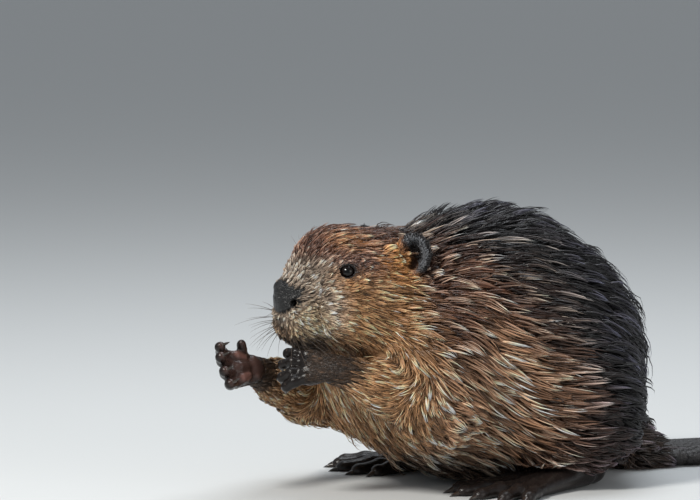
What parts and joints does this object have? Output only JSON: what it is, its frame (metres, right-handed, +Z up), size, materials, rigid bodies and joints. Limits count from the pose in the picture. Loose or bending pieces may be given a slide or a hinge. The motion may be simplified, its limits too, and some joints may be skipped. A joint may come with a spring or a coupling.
{
  "type": "beaver",
  "caption": "Hunched beaver, life size, sitting on webbed hind feet with its flat scaly tail behind and both hands held under its chin.",
  "frame": {"origin": "on the floor, under the middle of the whole from hand tip to tail tip", "axes": "+X to the animal's left, +Y towards its tail, +Z up"},
  "size_m": [0.2944, 0.6512, 0.235],
  "materials": {
    "fur_back": "wet blackish-brown fur",
    "fur_flank": "wet reddish-brown fur",
    "fur_face": "short orange-brown fur",
    "fur_muzzle": "short greyish-brown fur",
    "bare_skin": "wet black-brown skin",
    "tail_scales": "leathery dark grey scales",
    "nose_pad": "moist black skin",
    "eye": "glossy black-brown"
  },
  "bodies": {
    "root": {"nose": "nose_pad", "lower_jaw": "fur_muzzle", "head": "fur_face", "neck": "fur_face", "trunk": "fur_back", "tail_root": "fur_back", "tail_paddle": "tail_scales", "eye_left": "eye", "ear_left": "fur_back", "upper_arm_left": "fur_flank", "forearm_left": "fur_flank", "hand_left": "bare_skin", "hind_leg_left": "fur_back", "hind_foot_left": "bare_skin", "eye_right": "eye", "ear_right": "fur_back", "upper_arm_right": "fur_flank", "forearm_right": "fur_flank", "hand_right": "bare_skin", "hind_leg_right": "fur_back", "hind_foot_right": "bare_skin"}
  },
  "joints": []
}
